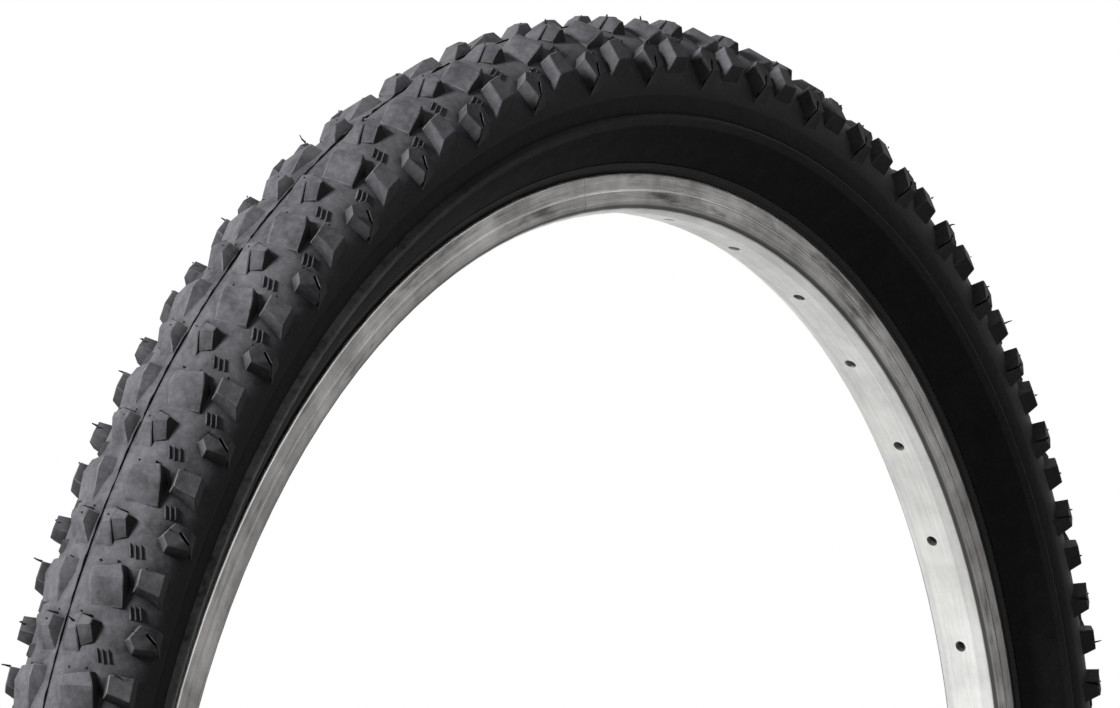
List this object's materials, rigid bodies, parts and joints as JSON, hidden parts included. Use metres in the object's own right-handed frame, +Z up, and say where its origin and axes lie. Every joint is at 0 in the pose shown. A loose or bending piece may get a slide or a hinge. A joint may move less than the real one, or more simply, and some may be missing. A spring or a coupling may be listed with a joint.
{
  "type": "bicycle tire",
  "caption": "Knobbly off-road bicycle tyre mounted on a bare alloy rim, with its casing, beads, inner tube, rim tape and car-type valve.",
  "frame": {"origin": "centre of the wheel, on the axle axis midway between the rim sides", "axes": "+Y along the axle, +Z up with the valve at the bottom, +X forwards or backwards"},
  "size_m": [0.6828, 0.0564, 0.6828],
  "materials": {
    "aluminium": "brushed",
    "steel": "plain",
    "tape": "woven",
    "butyl": "matt",
    "brass": "machined",
    "ptfe": "smooth",
    "cap_plastic": "moulded",
    "nickel": "plated",
    "ply_fabric": "rubberised",
    "breaker_fabric": "rubberised",
    "filler_rubber": "matt",
    "chafer_rubber": "matt",
    "sidewall_rubber": "finely textured",
    "tread_rubber": "matt moulded"
  },
  "bodies": {
    "wheel": {"rim": "aluminium", "rim_joint_pins": "steel", "rim_tape": "tape", "inner_tube": "butyl", "valve_base": "butyl", "valve_stem": "brass", "valve_core_body": "brass", "valve_core_gasket": "ptfe", "valve_core_spring": "steel", "casing": "ply_fabric", "breaker": "breaker_fabric", "bead_wire_left": "steel", "bead_wire_right": "steel", "bead_filler_left": "filler_rubber", "bead_filler_right": "filler_rubber", "chafer_left": "chafer_rubber", "chafer_right": "chafer_rubber", "sidewall_left": "sidewall_rubber", "sidewall_right": "sidewall_rubber", "tread": "tread_rubber"},
    "cap": {"valve_cap": "cap_plastic", "cap_seal": "butyl"},
    "core_pin": {"valve_core_pin": "brass", "valve_core_seal": "butyl"},
    "nut": {"valve_nut": "nickel"}
  },
  "joints": [
    {"name": "cap_pull", "type": "slide", "parent": "wheel", "child": "cap", "axis": [0, 0, 1], "range_m": [0, 0.03]},
    {"name": "core_press", "type": "slide", "parent": "wheel", "child": "core_pin", "axis": [0, 0, -1], "range_m": [0, 0.0016], "stiffness_N_per_m": 250, "springref_m": -0.001, "deforming": ["valve_core_spring"]},
    {"name": "nut_turn", "type": "slide", "parent": "wheel", "child": "nut", "axis": [0, 0, 1], "range_m": [0, 0.012]}
  ]
}
